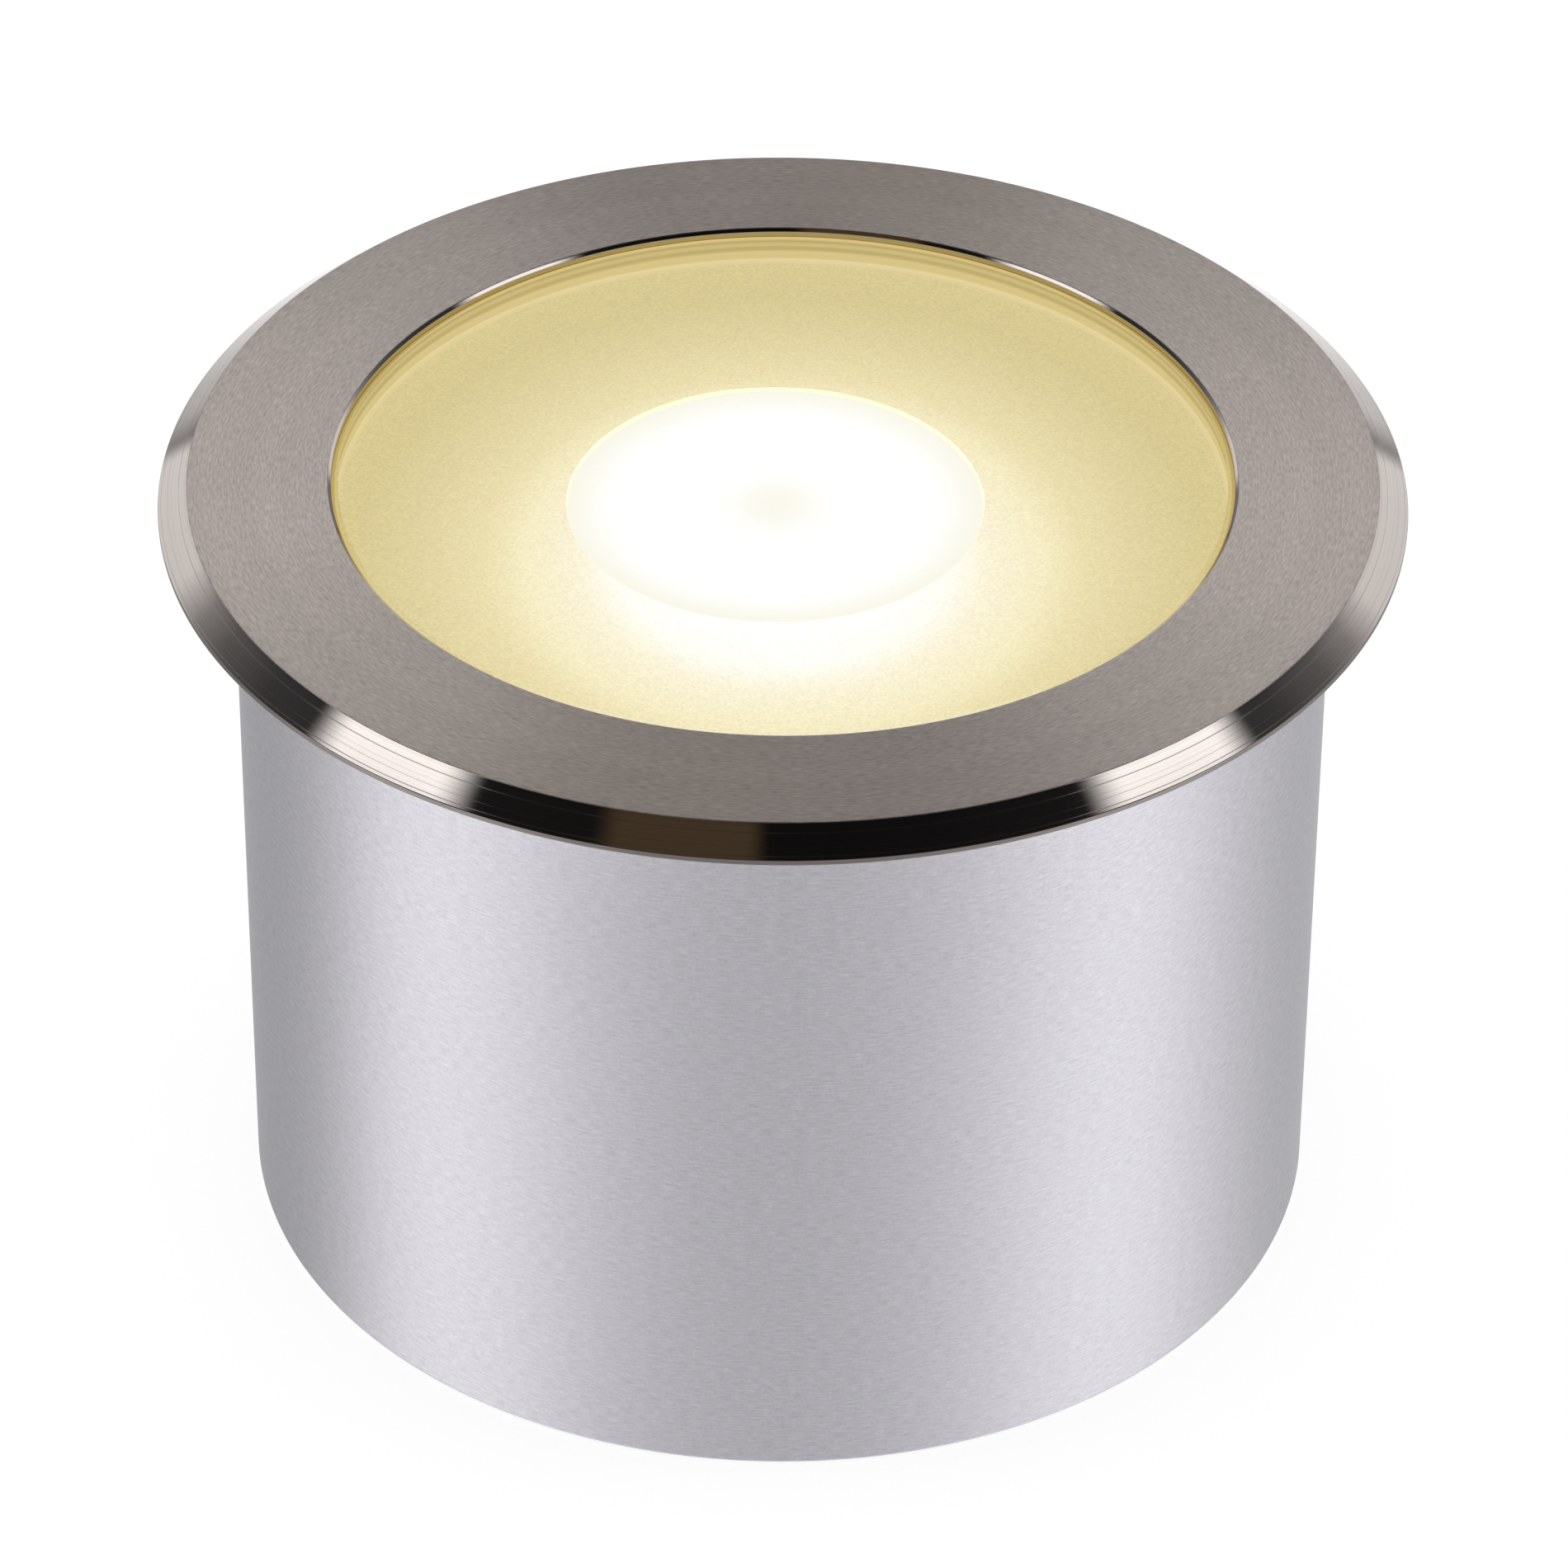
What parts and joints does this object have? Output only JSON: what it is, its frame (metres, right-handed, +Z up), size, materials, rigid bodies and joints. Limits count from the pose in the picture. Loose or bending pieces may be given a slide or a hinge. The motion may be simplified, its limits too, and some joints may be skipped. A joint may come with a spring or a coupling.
{
  "type": "in ground well light",
  "caption": "Round light for a hole in paving: a chamfered trim ring with thick frosted glass over a plain round metal body with its driver and cable gland inside.",
  "frame": {"origin": "middle of the body's bottom edge, on the surface that it stands on", "axes": "+Z up through the glass, along the body's axis; -Y towards the picture's camera; +X to its right"},
  "size_m": [0.13, 0.13, 0.0865],
  "materials": {
    "ring_steel": "fine turned lines",
    "collar_metal": "turned",
    "screw_steel": "plain",
    "glass": "clear, frosted below",
    "sealant": "smooth",
    "gasket": "smooth",
    "seal_rubber": "smooth",
    "body_metal": "satin",
    "ring_blank": "turned",
    "opal": "opal",
    "reflector_metal": "bright",
    "holder_plastic": "moulded",
    "led_ceramic": "ceramic",
    "phosphor": "smooth",
    "board_white": "solder mask on aluminium",
    "pad_grey": "soft",
    "sink_metal": "milled",
    "lead_red": "smooth",
    "lead_black": "smooth",
    "driver_plastic": "moulded",
    "board_green": "solder mask",
    "winding_tape": "tape",
    "can_sleeve": "sleeve",
    "chip_black": "moulded",
    "lead_brown": "smooth",
    "lead_blue": "smooth",
    "terminal_plastic": "moulded",
    "brass": "turned",
    "lead_green": "smooth",
    "tinned": "tinned",
    "cover_metal": "cast",
    "gland_plastic": "moulded",
    "clamp_plastic": "moulded"
  },
  "bodies": {
    "housing": {"body_tube": "body_metal", "shelf_ring": "ring_blank", "ledge_ring": "ring_blank", "diffuser_disc": "opal", "reflector": "reflector_metal", "reflector_holder": "holder_plastic", "led_package": "led_ceramic", "led_phosphor": "phosphor", "led_board": "board_white", "thermal_pad": "pad_grey", "board_screws": "screw_steel", "heat_sink": "sink_metal", "heat_sink_screws": "screw_steel", "lead_grommet": "seal_rubber", "led_lead_positive": "lead_red", "led_lead_negative": "lead_black", "driver_case": "driver_plastic", "driver_lid": "driver_plastic", "driver_board": "board_green", "driver_transformer": "winding_tape", "driver_capacitors": "can_sleeve", "driver_chips": "chip_black", "base_screws": "screw_steel", "supply_lead_live": "lead_brown", "supply_lead_neutral": "lead_blue", "terminal_block": "terminal_plastic", "terminal_clamps": "brass", "terminal_screws": "screw_steel", "earth_lead": "lead_green", "earth_tag": "tinned", "earth_screw": "brass", "bottom_cover": "cover_metal", "bottom_seal": "seal_rubber", "bottom_cover_screws": "screw_steel", "gland_body": "gland_plastic", "gland_washer": "seal_rubber", "gland_locknut": "gland_plastic"},
    "cover_seal_ring": {"cover_seal": "seal_rubber"},
    "cover": {"trim_ring": "ring_steel", "glass_carrier": "collar_metal", "carrier_screws": "screw_steel", "glass": "glass", "glass_sealant": "sealant", "glass_gasket": "gasket"},
    "gland_clamping": {"gland_clamp": "clamp_plastic", "gland_seal": "seal_rubber"},
    "gland_cap_nut": {"gland_cap": "gland_plastic"}
  },
  "joints": [
    {"name": "cover_lift", "type": "slide", "parent": "housing", "child": "cover_seal_ring", "axis": [0, 0, 1], "range_m": [0, 0.00605]},
    {"name": "cover_turn", "type": "hinge", "parent": "cover_seal_ring", "child": "cover", "pos_m": [0, 0, 0.08], "axis": [0, 0, 1], "range_deg": [0, 1080]},
    {"name": "gland_travel", "type": "slide", "parent": "housing", "child": "gland_clamping", "axis": [0, 0, -1], "range_m": [0, 0.00455]},
    {"name": "gland_turn", "type": "hinge", "parent": "gland_clamping", "child": "gland_cap_nut", "pos_m": [-0.018, -0.018, 0.014], "axis": [0, 0, -1], "range_deg": [0, 1080]}
  ],
  "couplings": [
    {"joint": "cover_lift", "follows": "cover_turn", "m_per_rad": 0.00031831},
    {"joint": "gland_travel", "follows": "gland_turn", "m_per_rad": 0.00023873}
  ]
}
